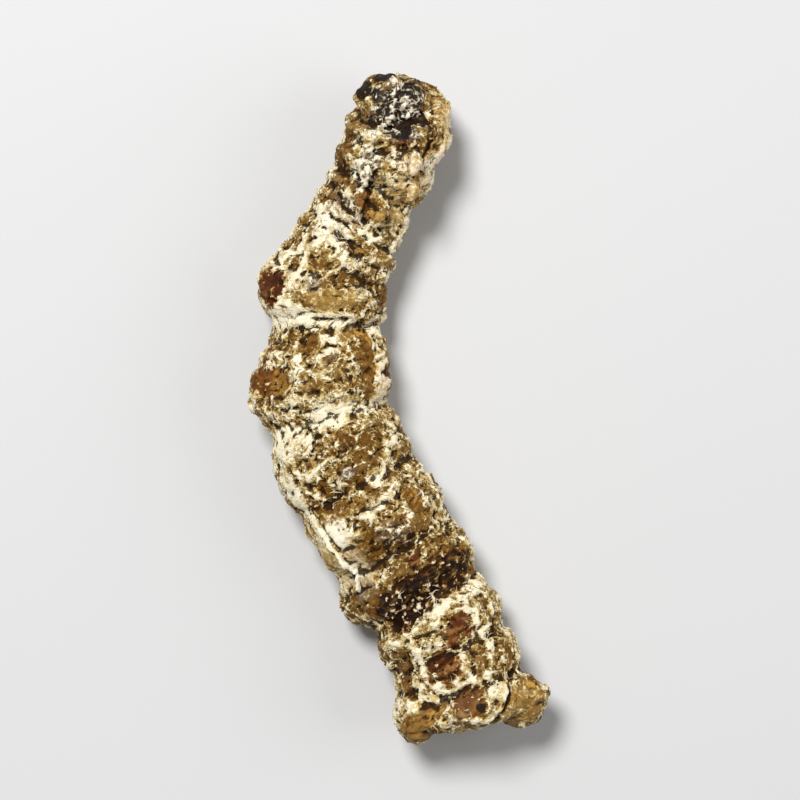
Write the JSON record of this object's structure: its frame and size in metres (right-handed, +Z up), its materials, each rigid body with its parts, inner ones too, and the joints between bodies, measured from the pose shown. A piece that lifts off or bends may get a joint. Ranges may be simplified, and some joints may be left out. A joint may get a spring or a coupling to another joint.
{
  "type": "dried muscardine silkworm",
  "caption": "Dried silkworm larva stiffened by white muscardine fungus: a ringed, gently S-curved body on its side, with dark head, proleg stubs on the belly side and a blunt lobed tail.",
  "frame": {"origin": "under the middle of the bounding box, on the surface the body lies on", "axes": "+Z up from the surface; +Y towards the head, along the body's longest extent; the belly side with its prolegs faces -X and the back faces +X"},
  "size_m": [0.0156, 0.0344, 0.0061],
  "materials": {
    "dried_cuticle": "dry wrinkled brown cuticle under a patchy, powdery cream-white coat of mycelium, dull, with darker pits and folds"
  },
  "bodies": {
    "root": {"dried_silkworm": "dried_cuticle"}
  },
  "joints": []
}
